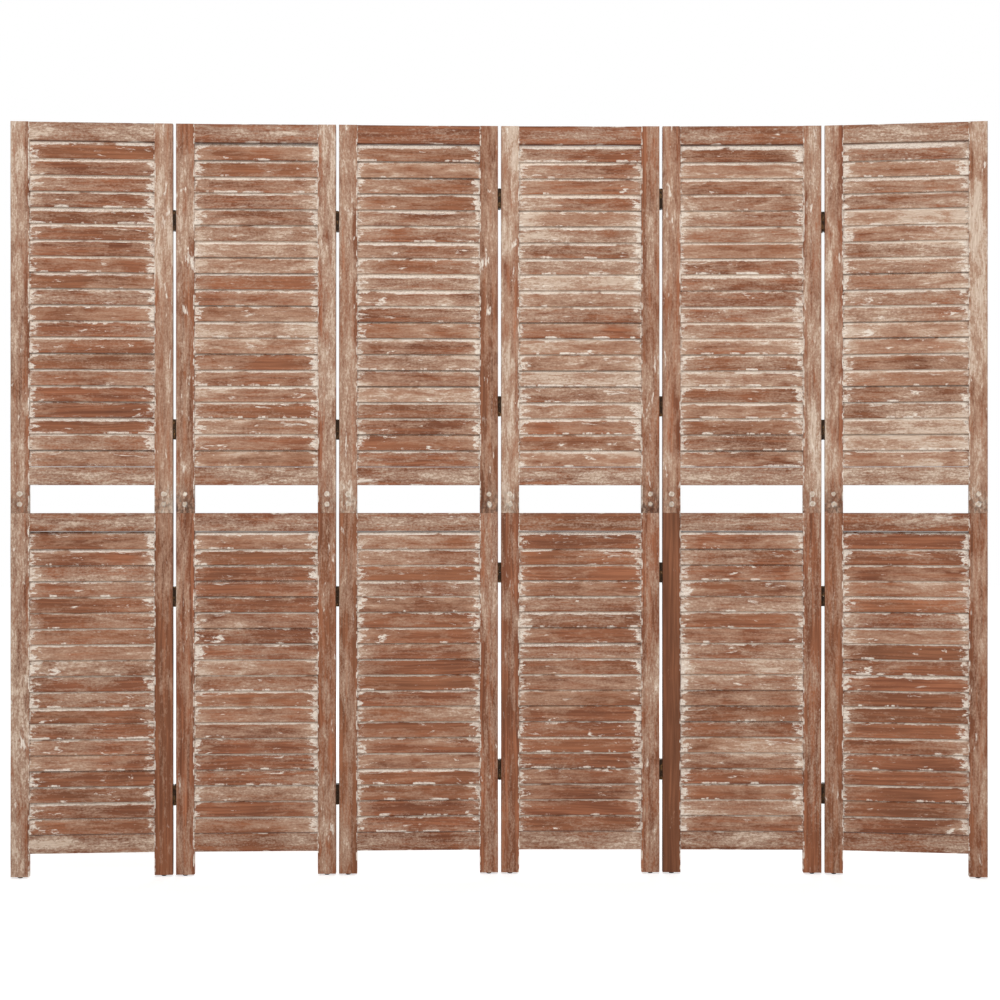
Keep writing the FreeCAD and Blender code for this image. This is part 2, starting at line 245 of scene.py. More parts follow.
class Graph:
    """Adds nodes to one tree. A value is a number, a vector, a colour or another node's output."""

    def __init__(self, tree):
        self.tree = tree

    def node(self, kind, values=None, **settings):
        """New node with its settings and the values on its inputs."""
        node = self.tree.nodes.new(kind)
        for name, setting in settings.items():
            setattr(node, name, setting)
        for key, value in (values or {}).items():
            self.put(node.inputs[key], value)
        return node

    def put(self, socket, value):
        """Links an output to a socket, or writes a constant on it."""
        if isinstance(value, bpy.types.NodeSocket):
            self.tree.links.new(value, socket)
        else:
            socket.default_value = value

    def number(self, operation, first, second=0.0):
        return self.node("ShaderNodeMath", {0: first, 1: second}, operation=operation).outputs[0]

    def plus(self, first, second):
        return self.number("ADD", first, second)

    def minus(self, first, second):
        return self.number("SUBTRACT", first, second)

    def times(self, first, second):
        return self.number("MULTIPLY", first, second)

    def least(self, first, second):
        return self.number("MINIMUM", first, second)

    def most(self, first, *others):
        """Greatest of several values."""
        for other in others:
            first = self.number("MAXIMUM", first, other)
        return first

    def size(self, value):
        return self.number("ABSOLUTE", value)

    def sign(self, value):
        return self.number("SIGN", value)

    def distance(self, first, second):
        """Distance that two lengths at right angles make."""
        squares = self.plus(self.times(first, first), self.times(second, second))
        return self.number("SQRT", squares)

    def swing(self, pattern, reach):
        """A pattern from 0 to 1 turned into a swing about zero that is as wide as the reach."""
        return self.times(self.minus(pattern, 0.5), reach)

    def vector(self, operation, first, second):
        return self.node("ShaderNodeVectorMath", {0: first, 1: second}, operation=operation).outputs[0]

    def join(self, x, y, z):
        return self.node("ShaderNodeCombineXYZ", {0: x, 1: y, 2: z}).outputs[0]

    def split(self, vector):
        return self.node("ShaderNodeSeparateXYZ", {0: vector}).outputs

    def attribute(self, name):
        """Vector that each point of a board keeps under a name."""
        return self.node("ShaderNodeAttribute", attribute_name=name).outputs["Vector"]

    def screen_place(self):
        """Place on the whole screen, from the middle of its footprint."""
        return self.node("ShaderNodeTexCoord").outputs["Object"]

    def shifted(self, place, seed, steps):
        """Place moved by a board's seed, so that no two boards share a pattern."""
        return self.vector("ADD", place, self.vector("MULTIPLY", self.join(seed, seed, seed), steps))

    def fade(self, value, start, end, low=0.0, high=1.0):
        """Smooth step from low to high while the value goes from start to end."""
        values = {"Value": value, "From Min": start, "From Max": end, "To Min": low, "To Max": high}
        return self.node("ShaderNodeMapRange", values, interpolation_type="SMOOTHSTEP").outputs[0]

    def span(self, value, start, end, low=0.0, high=1.0):
        """Straight, clamped change from low to high while the value goes from start to end."""
        values = {"Value": value, "From Min": start, "From Max": end, "To Min": low, "To Max": high}
        return self.node("ShaderNodeMapRange", values).outputs[0]

    def noise(self, place, scale=1.0, detail=2.0, roughness=0.5, distortion=0.0):
        values = {"Vector": place, "Scale": scale, "Detail": detail,
                  "Roughness": roughness, "Distortion": distortion}
        return self.node("ShaderNodeTexNoise", values).outputs["Fac"]

    def grained(self, place, waves, **texture):
        """Noise with its own number of waves in each metre along, across and through a board."""
        return self.noise(self.vector("MULTIPLY", place, waves), **texture)

    def patches(self, along, across, layer, waves, **texture):
        """Noise on the face of a board. Each layer is another pattern."""
        place = self.join(self.times(along, waves[0]), self.times(across, waves[1]), layer)
        return self.noise(place, **texture)

    def breaks(self, along, layer, waves, **texture):
        """Noise along a line, which breaks it up. Each layer is another pattern."""
        return self.noise(self.join(self.times(along, waves), layer, 0.0), **texture)

    def random(self, value, salt):
        """Steady random number from 0 to 1 for a value. Each salt gives another one."""
        values = {"W": self.plus(value, salt)}
        return self.node("ShaderNodeTexWhiteNoise", values, noise_dimensions="1D").outputs["Value"]

    def pick(self, value, salt, low, high, power=None):
        """Steady random number from low to high for a value. A power makes high ones rare."""
        chance = self.random(value, salt)
        if power:
            chance = self.number("POWER", chance, power)
        return self.span(chance, 0.0, 1.0, low, high)

    def group(self, tree, values):
        """A node group with the values on its inputs."""
        return self.node("ShaderNodeGroup", values, node_tree=tree)

    def mix(self, share, first, second, blend="MIX"):
        values = {0: share, 6: first, 7: second}
        return self.node("ShaderNodeMix", values, data_type="RGBA", blend_type=blend).outputs[2]


def new_group(name, inputs, outputs):
    """Empty node group with its graph, its inputs and the node that takes its outputs."""
    group = bpy.data.node_groups.new(name, "ShaderNodeTree")
    kinds = {"value": "NodeSocketFloat", "vector": "NodeSocketVector", "colour": "NodeSocketColor"}
    for label, kind in inputs.items():
        group.interface.new_socket(label, in_out="INPUT", socket_type=kinds[kind])
    for label, kind in outputs.items():
        group.interface.new_socket(label, in_out="OUTPUT", socket_type=kinds[kind])
    graph = Graph(group)
    return group, graph, graph.node("NodeGroupInput").outputs, graph.node("NodeGroupOutput").inputs


def grain_group():
    """Masks of the bare wood: broad streaks, fine fibres and the dark lines of its figure."""
    inputs = {"Place": "vector", "Seed": "value"}
    outputs = {"Streaks": "value", "Fibres": "value", "Figure": "value"}
    group, graph, given, out = new_group("wood grain", inputs, outputs)
    place = graph.shifted(given["Place"], given["Seed"], (3.7, 1.9, 5.3))
    bend = graph.grained(place, (5.0, 22.0, 22.0))
    along, across, depth = graph.split(place)
    bent_across = graph.plus(across, graph.swing(bend, GRAIN_BEND))
    bent = graph.join(along, bent_across, depth)
    streaks = graph.grained(bent, (5.0, 150.0, 150.0), detail=3.0)
    fibres = graph.grained(bent, (38.0, 900.0, 900.0), roughness=0.6)
    swirl = graph.grained(place, (2.6, 26.0, 26.0), detail=1.0)
    rings = graph.plus(graph.times(bent_across, RINGS), graph.times(swirl, RING_SWIRL))
    wave = graph.number("SINE", graph.times(rings, 2 * math.pi))
    graph.put(out["Streaks"], graph.fade(streaks, 0.3, 0.7))
    graph.put(out["Fibres"], graph.span(fibres, 0.25, 0.75))
    graph.put(out["Figure"], graph.fade(wave, 0.1, 1.0))
    return group


def wash_group():
    """How much cream wash is left: clouds and strokes along the grain, and thick wash where it gathered."""
    inputs = {"Place": "vector", "Seed": "value", "Haze": "value", "Gathered": "value", "Scratch": "value"}
    outputs = {"Film": "value", "Cover": "value"}
    group, graph, given, out = new_group("cream wash", inputs, outputs)
    place = graph.shifted(given["Place"], given["Seed"], (2.3, 6.1, 4.7))
    drift = graph.grained(place, (3.2, 24.0, 24.0), detail=1.0)
    clouds = graph.grained(place, (14.0, 62.0, 62.0), detail=4.0, roughness=0.65, distortion=0.5)
    strokes = graph.grained(place, (44.0, 340.0, 340.0), detail=3.0, roughness=0.6)
    mottle = graph.grained(place, (170.0, 270.0, 270.0), detail=3.0, roughness=0.7)
    film = graph.plus(given["Haze"], graph.swing(drift, 1.1))
    film = graph.plus(film, graph.swing(clouds, 2.5))
    for pattern, smooth, scratched in ((strokes, 0.5, 1.2), (mottle, 0.8, 2.2)):
        reach = graph.span(given["Scratch"], 0.0, 1.0, low=smooth, high=scratched)
        film = graph.plus(film, graph.swing(pattern, reach))
    graph.put(out["Film"], film)
    lumps = graph.grained(place, (42.0, 230.0, 230.0), detail=4.0, roughness=0.66, distortion=0.3)
    level = graph.plus(given["Gathered"], graph.swing(lumps, 1.7))
    flecks = graph.fade(graph.plus(mottle, graph.times(strokes, 0.6)), 0.62, 0.86, low=0.6)
    graph.put(out["Cover"], graph.times(graph.fade(level, 0.3, 0.78), flecks))
    return group


def washed_wood_group(grain, wash):
    """Colour, roughness and height of washed wood from its place, its board, the wash on it, and the dirt and
    painted shade laid over it.
    """
    inputs = {"Place": "vector", "Seed": "value", "Tone": "value", "Haze": "value",
              "Gathered": "value", "Scratch": "value", "Dirt and shade": "value"}
    outputs = {"Color": "colour", "Roughness": "value", "Height": "value"}
    group, graph, given, out = new_group("washed wood", inputs, outputs)
    wash_inputs = ("Place", "Seed", "Haze", "Gathered", "Scratch")
    bare = graph.group(grain, {label: given[label] for label in ("Place", "Seed")})
    cream = graph.group(wash, {label: given[label] for label in wash_inputs})
    streaks, fibres, figure = bare.outputs
    film, cover = cream.outputs

    wood = graph.mix(streaks, WOOD_DEEP, WOOD_LIGHT)
    wood = graph.mix(graph.times(figure, 0.34), wood, WOOD_FIGURE)
    wood = graph.mix(graph.span(fibres, 0.0, 1.0, low=0.34, high=0.0), wood, WOOD_PORES)
    wood = graph.mix(graph.pick(given["Seed"], 0.37, 0.0, 0.3), wood, WOOD_FADED)
    shade = graph.join(given["Tone"], given["Tone"], given["Tone"])
    wood = graph.mix(1.0, wood, shade, "MULTIPLY")

    tint = graph.mix(given["Scratch"], HAZE_SMOOTH, HAZE_SCRATCHED)
    thin = graph.mix(graph.span(film, 0.04, 0.86, high=0.96), wood, tint)
    thick = graph.mix(graph.fade(fibres, 0.3, 0.75), FILM_THIN, FILM_THICK)
    hazed = graph.mix(graph.fade(film, 0.72, 1.3, high=0.92), thin, thick)
    pale = graph.mix(fibres, CREAM_WORN, CREAM_FULL)
    covered = graph.mix(graph.times(cover, 0.95), hazed, pale)
    # Real dirt, and painted shade in seams and under the slat above, both darken the colour here.
    graph.put(out["Color"], graph.mix(given["Dirt and shade"], covered, DIRT_AND_SHADE))

    laid = graph.plus(graph.span(film, 0.0, 1.2), cover)
    graph.put(out["Roughness"], graph.span(laid, 0.0, 1.5, low=0.6, high=0.88))
    relief = graph.plus(graph.times(fibres, 0.35), graph.times(streaks, 0.25))
    graph.put(out["Height"], graph.plus(relief, graph.times(cover, 0.6)))
    return group


def tarnish_group():
    """Mask of rubbed and tarnished patches on small metal parts, with its height."""
    inputs = {"Place": "vector", "Amount": "value"}
    outputs = {"Rubbed": "value", "Height": "value"}
    group, graph, given, out = new_group("tarnish", inputs, outputs)
    broad = graph.noise(given["Place"], scale=95.0, detail=3.0, roughness=0.6)
    fine = graph.noise(given["Place"], scale=900.0, roughness=0.6)
    level = graph.plus(graph.plus(broad, graph.times(fine, 0.35)), given["Amount"])
    graph.put(out["Rubbed"], graph.fade(level, 0.72, 0.98))
    graph.put(out["Height"], graph.plus(graph.times(fine, 0.5), graph.times(broad, 0.5)))
    return group


# Materials

def new_material(name):
    """Material with a graph and its own shader."""
    material = bpy.data.materials.new(name)
    material.use_nodes = True
    material.node_tree.nodes.clear()
    graph = Graph(material.node_tree)
    shader = graph.node("ShaderNodeBsdfPrincipled")
    output = graph.node("ShaderNodeOutputMaterial")
    graph.put(output.inputs["Surface"], shader.outputs["BSDF"])
    return material, graph, shader


def raise_surface(graph, shader, height, distance):
    """Bump of the given height feeding the shader's normal."""
    bump = graph.node("ShaderNodeBump", {"Height": height, "Distance": distance, "Strength": 1.0})
    graph.put(shader.inputs["Normal"], bump.outputs["Normal"])


def board_values(graph):
    """Place on the board, its seed, and its haze and tone with soft patches that run on over other boards."""
    place = graph.attribute("board_place")
    seed, haze, tone = graph.split(graph.attribute("board_finish"))
    screen = graph.screen_place()
    region = graph.noise(screen, scale=6.0)
    shade = graph.noise(graph.vector("ADD", screen, (3.0, 1.0, 7.0)), scale=9.0)
    haze = graph.plus(haze, graph.swing(region, 1.2))
    tone = graph.times(tone, graph.span(shade, 0.3, 0.7, low=0.84, high=1.12))
    return place, seed, haze, tone


def wear_finish(graph, shader, group, values):
    """Washed wood on a board, from its own fields of haze, gathered wash, and dirt and painted shade."""
    washed = graph.group(group, values)
    graph.put(shader.inputs["Base Color"], washed.outputs["Color"])
    graph.put(shader.inputs["Roughness"], washed.outputs["Roughness"])
    graph.put(shader.inputs["Specular IOR Level"], 0.14)
    raise_surface(graph, shader, washed.outputs["Height"], WOOD_RELIEF)


class SlatFields:
    """Where a point is on its slat, the same on both faces, and the noise that makes the wash ragged."""

    def __init__(self, graph, place, seed):
        along, across, depth = graph.split(place)
        self.seed = seed
        self.end_seed = graph.plus(seed, graph.times(graph.sign(along), 0.31))
        self.along = along
        self.up = graph.times(across, graph.sign(depth))
        self.from_end = graph.minus(OPENING_HALF, graph.size(along))
        self.below_top = graph.minus(SLAT_WIDTH / 2 - SLAT_LAP, self.up)
        self.above_edge = graph.plus(SLAT_WIDTH / 2, self.up)
        lumps = graph.patches(along, self.up, seed, (42.0, 95.0), detail=4.0, roughness=0.7)
        self.ragged = graph.swing(lumps, RAGGED)


def corner_wash(graph, slat):
    """Wash left in the two corners under the slat above, each with its own size and strength."""
    from_end = graph.pick(slat.end_seed, 0.5, 0.0, CORNER_FROM_END, power=2.0)
    from_top = graph.pick(slat.seed, 0.9, 0.0, CORNER_FROM_TOP)
    size = graph.pick(slat.end_seed, 0.7, *CORNER_SIZE)
    inside_end = graph.times(graph.minus(slat.from_end, from_end), CORNER_SLIM)
    inside_top = graph.minus(slat.below_top, from_top)
    short_end = graph.most(graph.minus(size, inside_end), 0.0)
    short_top = graph.most(graph.minus(size, inside_top), 0.0)
    bare = graph.plus(graph.minus(size, graph.distance(short_end, short_top)), slat.ragged)
    layer = graph.plus(slat.seed, 3.0)
    worn = graph.patches(slat.along, slat.up, layer, (60.0, 110.0), detail=3.0, roughness=0.65)
    strength = graph.pick(slat.end_seed, 0.2, 0.4, 1.6)
    strength = graph.times(strength, graph.fade(worn, 0.36, 0.56, low=0.45))
    return graph.times(graph.fade(bare, *CORNER_FADE), strength)


def top_lines(graph, slat):
    """Cream and painted shade along the line under the slat above. A slat's kind decides how much it has of
    each.
    """
    kind = graph.random(slat.seed, 0.8)
    broken = graph.breaks(slat.along, slat.seed, 8.0, detail=4.0, roughness=0.6)
    near = graph.plus(slat.below_top, graph.times(slat.ragged, 0.14))
    width = graph.pick(slat.seed, 1.3, *LINE_WIDTH, power=3.0)
    strength = graph.fade(broken, 0.36, 0.56, low=0.3, high=1.5)
    strength = graph.times(strength, graph.span(kind, 0.2, 0.5, low=0.2, high=1.1))
    cream = graph.times(graph.fade(near, width, LINE_CORE), strength)
    # Painted shade: a dark line just under the lower edge of the slat above.
    dirt_and_shade = graph.times(graph.fade(near, *SHADE_LINE), graph.span(kind, 0.42, 0.1, high=0.65))
    return cream, dirt_and_shade


def edge_wash(graph, slat):
    """Broken cream along the lower edge, more on some slats than on others."""
    broken = graph.breaks(slat.along, graph.plus(slat.seed, 5.0), 19.0, detail=4.0, roughness=0.65)
    share = graph.span(graph.random(slat.seed, 1.1), 0.35, 1.0, low=-0.07, high=0.11)
    strength = graph.fade(graph.plus(broken, share), 0.54, 0.68, high=0.95)
    near = graph.plus(slat.above_edge, graph.times(slat.ragged, 0.25))
    return graph.times(graph.fade(near, *EDGE_LINE), strength)


def end_wash(graph, slat):
    """Cream where the slat meets the stiles."""
    broken = graph.breaks(slat.up, slat.end_seed, 90.0)
    strength = graph.fade(broken, 0.4, 0.6, low=0.2, high=0.95)
    return graph.times(graph.fade(slat.from_end, *END_LINE), strength)


def smears(graph, slat):
    """Stray smears of thick wash along the grain."""
    layer = graph.plus(slat.seed, 7.0)
    pattern = graph.patches(slat.along, slat.up, layer, (17.0, 74.0),
                            detail=5.0, roughness=0.68, distortion=0.7)
    return graph.fade(pattern, 0.565, 0.73, high=0.9)


def slat_haze(graph, slat):
    """Extra haze near the slat above and near the stiles, and from one long edge to the other."""
    lean = graph.times(graph.minus(graph.random(slat.seed, 0.3), 0.3), 0.9)
    gradient = graph.times(graph.number("DIVIDE", slat.up, SLAT_WIDTH), lean)
    near_top = graph.plus(graph.fade(slat.below_top, TOP_HAZE, 0.0, high=0.32), gradient)
    return graph.most(near_top, graph.fade(slat.from_end, END_HAZE, 0.0, high=0.3))


def slat_painted_shade(graph, slat):
    """Painted shade: dark specks in the crevices at the ends, and in the seam under the slat above."""
    specks = graph.patches(slat.along, slat.up, slat.seed, (240.0, 240.0))
    at_end = graph.fade(slat.from_end, *CREVICE_SHADE_END, high=0.75)
    crevice_shade = graph.times(graph.fade(specks, 0.62, 0.7), at_end)
    share = graph.span(graph.random(slat.seed, 1.7), 0.3, 1.0, high=0.5)
    return graph.most(crevice_shade, graph.times(graph.fade(slat.below_top, *SLAT_SEAM_SHADE), share))


def slat_material(group):
    """Slats: rubbed bare in the middle, with wash left under the slat above and at the ends, and painted
    shade under the slat above and in the crevices at the ends.
    """
    material, graph, shader = new_material("washed slat wood")
    place, seed, haze, tone = board_values(graph)
    slat = SlatFields(graph, place, seed)
    cream_line, shade_line = top_lines(graph, slat)
    lines = graph.most(cream_line, edge_wash(graph, slat), end_wash(graph, slat))
    values = {"Place": place, "Seed": seed, "Tone": tone,
              "Haze": graph.plus(haze, slat_haze(graph, slat)),
              "Gathered": graph.most(corner_wash(graph, slat), lines, smears(graph, slat)),
              "Scratch": graph.pick(seed, 0.6, 0.1, 0.8),
              # Painted shade under the slat above and at the ends darkens the colour here.
              "Dirt and shade": graph.most(slat_painted_shade(graph, slat), shade_line)}
    wear_finish(graph, shader, group, values)
    return material


def screw_rings(graph, height, across, ragged):
    """Cream left round the lap screws."""
    rings = []
    for screw_height in LAP_SCREW_HEIGHTS:
        distance = graph.distance(graph.minus(height, screw_height), across)
        rings.append(graph.fade(graph.plus(distance, ragged), *SCREW_RING, high=0.9))
    return graph.most(*rings)


def lap_dirt(graph, height, along, across, seed):
    """Grey dirt on the lap, which ends at the seam and fades out above the lap."""
    fading = graph.fade(height, LAP_TOP + LAP_DIRT_RISE, LAP_SEAM)
    in_lap = graph.least(fading, graph.fade(height, LAP_SEAM - LAP_SEAM_WIDTH, LAP_SEAM))
    soil = graph.patches(along, across, seed, (90.0, 120.0), detail=3.0, roughness=0.65)
    dirt_and_shade = graph.times(in_lap, graph.pick(seed, 0.4, 0.25, 0.7))
    return graph.times(dirt_and_shade, graph.span(soil, 0.38, 0.62, low=0.1, high=1.4))


def stile_material(group):
    """Stiles: long hazy streaks, a broken cream line on the inner edge, and the dirt and rings of the lap."""
    material, graph, shader = new_material("washed stile wood")
    place, seed, haze, tone = board_values(graph)
    along, across = graph.split(place)[:2]
    height = graph.split(graph.screen_place())[2]
    from_inner = graph.minus(STILE_WIDTH / 2, across)
    from_outer = graph.plus(STILE_WIDTH / 2, across)

    broken = graph.breaks(along, seed, 45.0, detail=3.0, roughness=0.6)
    inner = graph.times(graph.fade(from_inner, *INNER_LINE), graph.fade(broken, 0.38, 0.62, high=0.8))
    blotch = graph.patches(along, across, seed, (20.0, 66.0), detail=3.0, roughness=0.6, distortion=0.5)
    blobs = graph.times(graph.fade(blotch, 0.56, 0.76, high=0.8), graph.span(haze, -0.1, 0.5, low=0.3))
    rings = screw_rings(graph, height, across, graph.swing(broken, RING_RAGGED))

    rubbed = graph.breaks(along, graph.plus(seed, 2.0), 7.0, detail=3.0, roughness=0.6)
    worn_strip = graph.times(graph.fade(from_inner, *WORN_STRIP), graph.fade(rubbed, 0.4, 0.6))
    streak = graph.patches(along, across, graph.plus(seed, 4.0), (5.0, 150.0), detail=3.0, roughness=0.6)
    outer_dirt = graph.fade(from_outer, *OUTER_DIRT, high=0.28)
    values = {"Place": place, "Seed": seed,
              "Tone": graph.times(tone, graph.span(streak, 0.3, 0.7, low=0.76, high=1.18)),
              "Haze": graph.minus(haze, graph.times(worn_strip, 0.5)),
              "Gathered": graph.most(inner, blobs, rings),
              "Scratch": graph.pick(seed, 0.6, 0.3, 0.85),
              "Dirt and shade": graph.most(lap_dirt(graph, height, along, across, seed), outer_dirt)}
    wear_finish(graph, shader, group, values)
    return material


def rail_material(group):
    """Rails: a scratched grey-cream film, patchy along the rail, with wash gathered at its edges and ends,
    and painted shade on the long edge faces, most on the face towards the slats.
    """
    material, graph, shader = new_material("washed rail wood")
    place, seed, haze, tone = board_values(graph)
    along, across = graph.split(place)[:2]
    from_end = graph.minus(OPENING_HALF, graph.size(along))
    from_edge = graph.minus(RAIL_HEIGHT / 2, graph.size(across))

    at_end = graph.fade(from_end, RAIL_END, 0.0, high=0.5)
    broken = graph.breaks(along, graph.plus(seed, graph.sign(across)), 26.0, detail=3.0)
    at_edge = graph.times(graph.fade(from_edge, *RAIL_EDGE), graph.fade(broken, 0.46, 0.66, high=0.7))
    patch = graph.patches(along, across, seed, (9.0, 28.0), detail=3.0, roughness=0.6)
    rubbed = graph.fade(patch, 0.56, 0.74, high=0.62)

    middle = graph.fade(graph.size(across), *RAIL_MIDDLE, low=0.1, high=-0.16)
    seam_start, seam_full = (RAIL_HEIGHT / 2 - distance for distance in RAIL_SEAM_SHADE)
    seam_shade = graph.fade(across, seam_start, seam_full, high=0.25)
    values = {"Place": place, "Seed": seed, "Tone": tone,
              "Haze": graph.plus(haze, middle),
              "Gathered": graph.most(at_end, at_edge, rubbed),
              "Scratch": 1.0,
              # Painted shade on the rail's long edge faces, strongest on the face towards the slats.
              "Dirt and shade": graph.most(seam_shade, graph.fade(from_edge, RAIL_EDGE_SHADE, 0.0, high=0.14))}
    wear_finish(graph, shader, group, values)
    return material


def metal_material(name, group, colours, rough, metal, amount):
    """Small metal part whose rubbed patches have a second colour, a second roughness and barer metal."""
    material, graph, shader = new_material(name)
    patches = graph.group(group, {"Place": graph.screen_place(), "Amount": amount})
    rubbed = patches.outputs["Rubbed"]
    graph.put(shader.inputs["Base Color"], graph.mix(rubbed, *colours))
    graph.put(shader.inputs["Roughness"], graph.span(rubbed, 0.0, 1.0, *rough))
    graph.put(shader.inputs["Metallic"], graph.span(rubbed, 0.0, 1.0, *metal))
    graph.put(shader.inputs["Specular IOR Level"], 0.3)
    raise_surface(graph, shader, patches.outputs["Height"], METAL_RELIEF)
    return material


def glide_material():
    """Moulded dark glides, scuffed by the floor."""
    material, graph, shader = new_material("scuffed plastic")
    scuff = graph.noise(graph.screen_place(), scale=700.0, detail=3.0, roughness=0.6)
    graph.put(shader.inputs["Base Color"], graph.mix(graph.fade(scuff, 0.45, 0.7), *GLIDES))
    graph.put(shader.inputs["Roughness"], graph.span(scuff, 0.3, 0.7, low=0.45, high=0.75))
    raise_surface(graph, shader, scuff, PLASTIC_RELIEF)
    return material


washed_wood = washed_wood_group(grain_group(), wash_group())
tarnish = tarnish_group()
bronze = metal_material("worn bronze", tarnish, BRONZE, rough=(0.58, 0.46), metal=(0.75, 0.9), amount=0.05)
steel = metal_material("dull steel", tarnish, STEEL, rough=(0.65, 0.5), metal=(0.1, 0.4), amount=0.05)
finishes = {
    "slats": slat_material(washed_wood),
    "stiles": stile_material(washed_wood),
    "rails": rail_material(washed_wood),
    "leaves": bronze,
    "links": bronze,
    "screws": steel,
    "glides": glide_material(),
}


# Boards

def panel_place(index):
    """Where a panel stands: from its own frame, with the middle of its foot line at the origin."""
    glides = f"panel_{index}_glides"
    low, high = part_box(glides)
    middle = (low + high) / 2
    feet = {False: [], True: []}
    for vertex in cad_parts[glides].data.vertices:
        feet[vertex.co.x > middle.x].append(vertex.co)
    left, right = (sum(feet[key], Vector()) / len(feet[key]) for key in (False, True))
    heading = math.atan2(right.y - left.y, right.x - left.x)
    return Matrix.Translation((middle.x, middle.y, 0)) @ Matrix.Rotation(heading, 4, "Z")


def axes(along, across, front):
    """Turn that lays a board's own axes along three directions of its panel."""
    return Matrix((along, across, front)).transposed().to_4x4()


def new_form():
    """Empty form that keeps each point's place on its board and the board's finish."""
    form = bmesh.new()
    form.verts.layers.float_vector.new("board_place")
    form.verts.layers.float_vector.new("board_finish")
    return form


def mark(form, verts, to_board, finish):
    """Writes the board's place and finish on its points."""
    place_layer = form.verts.layers.float_vector["board_place"]
    finish_layer = form.verts.layers.float_vector["board_finish"]
    for vert in verts:
        vert[place_layer] = to_board @ vert.co
        vert[finish_layer] = finish


def cut(form, point, normal):
    """Cuts every face that a plane crosses, and keeps both sides."""
    geometry = form.verts[:] + form.edges[:] + form.faces[:]
    bmesh.ops.bisect_plane(form, geom=geometry, plane_co=point, plane_no=normal)


def slat_form():
    """A slat about its own middle, in board axes, with its long edges rounded."""
    form = new_form()
    bmesh.ops.create_cube(form, size=1.0)
    bmesh.ops.scale(form, vec=(SLAT_LENGTH, SLAT_WIDTH, SLAT_THICKNESS), verts=form.verts)
    long_edges = [e for e in form.edges if e.calc_length() > SLAT_LENGTH / 2]
    bmesh.ops.bevel(form, geom=long_edges, offset=SLAT_EDGE, segments=2, profile=0.5,
                    affect="EDGES", material=-1)
    for step in range(1, SLAT_CUTS + 1):
        cut(form, (SLAT_LENGTH * (step / (SLAT_CUTS + 1) - 0.5), 0, 0), X)
    return form


def worn_slat(finish, place, edge_wear):
    """A slat with a slight bow and an uneven lower edge, at its place. Its ends stay in their pockets."""
    form = slat_form()
    mark(form, form.verts, Matrix.Identity(4), finish)
    bow = rng.uniform(-SLAT_BOW, SLAT_BOW)
    start = rng.uniform(0, 100)
    for vert in form.verts:
        share = 2 * vert.co.x / SLAT_LENGTH
        lower_edge = vert.co.y < SLAT_EDGE_REACH - SLAT_WIDTH / 2
        if lower_edge and abs(share) < SLAT_WORN_SHARE:
            wear = noise.noise(Vector((start + vert.co.x * SLAT_WAVES, SLAT_LAYER, 0)))
            vert.co.y += edge_wear * (0.5 + 0.5 * wear)
        vert.co.z += bow * (1 - share * share)
    bmesh.ops.transform(form, matrix=place, verts=form.verts)
    return form


def add_form(whole, form):
    """Adds a form to a larger one."""
    mesh = bpy.data.meshes.new("part")
    form.to_mesh(mesh)
    form.free()
    whole.from_mesh(mesh)
    bpy.data.meshes.remove(mesh)


def new_piece(name, form, node, body, kind):
    """Finished piece that stands for a node, rides on its body and wears its material."""
    mesh = bpy.data.meshes.new(name)
    form.to_mesh(mesh)
    form.free()
    mesh.materials.append(finishes[kind])
    piece = bpy.data.objects.new(name, mesh)
    bpy.context.scene.collection.objects.link(piece)
    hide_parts(node)
    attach(piece, body)


def slat_finish(level_haze):
    """Seed, haze and tone of one slat about its frame's haze: some bare and deep, a few pale all over."""
    haze = level_haze + rng.choice(SLAT_HAZE_STEPS) + rng.uniform(-SHARE_PLAY, SHARE_PLAY)
    return Vector((rng.uniform(0, SEED_RANGE), haze, rng.uniform(*SLAT_TONES)))


def slat_rows(index, level, count, level_haze):
    """All slats of one frame of a panel.

    The first and the last sit a little nearer to their rails, and the first keeps its whole lower edge,
    so that no light shows beside a rail.
    """
    node = f"panel_{index}_{level}_slats"
    low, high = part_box(node)
    first = low.z + SLAT_EXTENT / 2
    pitch = (high.z - low.z - SLAT_EXTENT) / (count - 1)
    panel = panel_place(index)
    whole = new_form()
    for row in range(count):
        lean = Matrix.Rotation(-SLAT_TILT + rng.uniform(-SLAT_TURN, SLAT_TURN), 4, "X")
        rise = {0: -SLAT_SEAT, count - 1: SLAT_SEAT}.get(row, 0.0)
        depth = rng.uniform(-SLAT_SHIFT, SLAT_SHIFT)
        shift = Matrix.Translation((0, depth, first + row * pitch + rise))
        place = panel @ shift @ lean @ axes(X, Z, -Y)
        add_form(whole, worn_slat(slat_finish(level_haze), place, 0.0 if row == 0 else EDGE_WEAR))
    new_piece(f"{node}_worn", whole, node, f"panel_{index}", "slats")


def board_copy(node):
    """The boards of a node as one form with its loose triangles joined."""
    form = new_form()
    form.from_mesh(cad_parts[node].data)
    bmesh.ops.remove_doubles(form, verts=form.verts, dist=1e-6)
    return form


def cut_across(form, panel, direction, low, high):
    """Cuts a form into short lengths along one direction of its panel, so that wear can bend its edges."""
    steps = int((high - low) / WEAR_STEP)
    normal = panel.to_3x3() @ direction
    for step in range(1, steps):
        cut(form, panel @ (direction * (low + step * (high - low) / steps)), normal)


